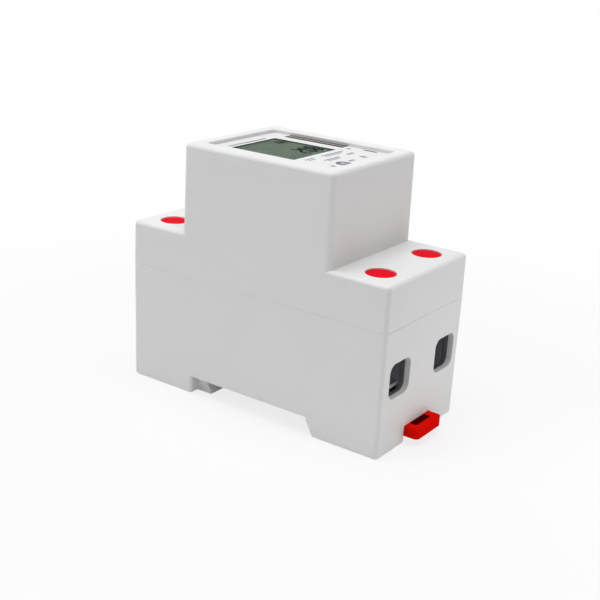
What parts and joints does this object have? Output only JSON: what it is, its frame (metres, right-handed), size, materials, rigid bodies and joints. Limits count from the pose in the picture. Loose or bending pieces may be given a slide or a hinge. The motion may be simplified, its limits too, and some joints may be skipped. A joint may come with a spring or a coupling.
{
  "type": "din rail energy meter",
  "caption": "Narrow rail-mounted energy meter with a raised display block, screw terminals at both ends and a sprung pull clip underneath.",
  "frame": {"origin": "middle of the rail seat, on the ceiling of the rail channel, halfway along and across the casing", "axes": "+X along the casing towards the pull clip, +Y across it along the rail, +Z away from the rail to the display"},
  "size_m": [0.0815, 0.037, 0.066],
  "materials": {
    "case_plastic": "fine matt grain, light grey",
    "faceplate_plastic": "smooth matt, pale grey, printed bars",
    "window_clear": "clear, polished",
    "display_glass": "greenish grey, dark digits",
    "light_guide": "milky",
    "black_plastic": "moulded black",
    "circuit_board": "green solder mask",
    "zinc_steel": "zinc plated",
    "gold_pin": "plated",
    "led_lens": "milky lens",
    "chip_black": "moulded black",
    "capacitor_box": "yellow film capacitor",
    "capacitor_can": "dark sleeve",
    "varistor_blue": "blue epoxy coat",
    "copper_bar": "tinned copper alloy",
    "shunt_alloy": "resistance alloy",
    "red_plastic": "moulded red",
    "spring_steel": "spring wire"
  },
  "bodies": {
    "casing": {"base_case": "case_plastic", "top_cover": "case_plastic", "faceplate": "faceplate_plastic", "display_window": "window_clear", "lcd_panel": "display_glass", "backlight": "light_guide", "lcd_frame": "black_plastic", "display_board": "circuit_board", "main_board": "circuit_board", "board_screws": "zinc_steel", "link_pins": "gold_pin", "link_strips": "black_plastic", "lcd_pins": "gold_pin", "pulse_led": "led_lens", "metering_chip": "chip_black", "processor_chip": "chip_black", "timing_crystal": "zinc_steel", "dropper_capacitor": "capacitor_box", "supply_capacitor": "capacitor_can", "surge_varistor": "varistor_blue", "neutral_bar": "copper_bar", "line_in_bar": "copper_bar", "line_out_bar": "copper_bar", "shunt": "shunt_alloy", "tap_pins": "gold_pin", "clip_spring": "spring_steel", "terminal_liner_front_left": "black_plastic", "screw_plug_front_left": "red_plastic", "terminal_liner_front_right": "black_plastic", "screw_plug_front_right": "red_plastic", "terminal_liner_back_left": "black_plastic", "screw_plug_back_left": "red_plastic", "terminal_liner_back_right": "black_plastic", "screw_plug_back_right": "red_plastic"},
    "rail_clip": {"rail_clip": "red_plastic"},
    "clamp_screw_front_left": {"clamp_screw_front_left": "zinc_steel"},
    "clamp_cage_front_left": {"clamp_cage_front_left": "zinc_steel"},
    "clamp_screw_front_right": {"clamp_screw_front_right": "zinc_steel"},
    "clamp_cage_front_right": {"clamp_cage_front_right": "zinc_steel"},
    "clamp_screw_back_left": {"clamp_screw_back_left": "zinc_steel"},
    "clamp_cage_back_left": {"clamp_cage_back_left": "zinc_steel"},
    "clamp_screw_back_right": {"clamp_screw_back_right": "zinc_steel"},
    "clamp_cage_back_right": {"clamp_cage_back_right": "zinc_steel"}
  },
  "joints": [
    {"name": "clip_slide", "type": "slide", "parent": "casing", "child": "rail_clip", "axis": [1, 0, 0], "range_m": [0, 0.004], "stiffness_N_per_m": 500, "springref_m": -0.002, "deforming": ["clip_spring"]},
    {"name": "screw_turn_front_left", "type": "hinge", "parent": "casing", "child": "clamp_screw_front_left", "pos_m": [-0.0316, -0.0107, 0.0339], "axis": [0, 0, -1], "range_deg": [0, 3960]},
    {"name": "cage_lift_front_left", "type": "slide", "parent": "casing", "child": "clamp_cage_front_left", "axis": [0, 0, 1], "range_m": [0, 0.0088]},
    {"name": "screw_turn_front_right", "type": "hinge", "parent": "casing", "child": "clamp_screw_front_right", "pos_m": [0.0316, -0.0107, 0.0339], "axis": [0, 0, -1], "range_deg": [-900, 3060]},
    {"name": "cage_lift_front_right", "type": "slide", "parent": "casing", "child": "clamp_cage_front_right", "axis": [0, 0, 1], "range_m": [-0.002, 0.0068]},
    {"name": "screw_turn_back_left", "type": "hinge", "parent": "casing", "child": "clamp_screw_back_left", "pos_m": [-0.0316, 0.0107, 0.0339], "axis": [0, 0, -1], "range_deg": [0, 3960]},
    {"name": "cage_lift_back_left", "type": "slide", "parent": "casing", "child": "clamp_cage_back_left", "axis": [0, 0, 1], "range_m": [0, 0.0088]},
    {"name": "screw_turn_back_right", "type": "hinge", "parent": "casing", "child": "clamp_screw_back_right", "pos_m": [0.0316, 0.0107, 0.0339], "axis": [0, 0, -1], "range_deg": [0, 3960]},
    {"name": "cage_lift_back_right", "type": "slide", "parent": "casing", "child": "clamp_cage_back_right", "axis": [0, 0, 1], "range_m": [0, 0.0088]}
  ],
  "couplings": [
    {"joint": "screw_turn_front_left", "follows": "cage_lift_front_left", "rad_per_m": 7854},
    {"joint": "screw_turn_front_right", "follows": "cage_lift_front_right", "rad_per_m": 7854},
    {"joint": "screw_turn_back_left", "follows": "cage_lift_back_left", "rad_per_m": 7854},
    {"joint": "screw_turn_back_right", "follows": "cage_lift_back_right", "rad_per_m": 7854}
  ]
}
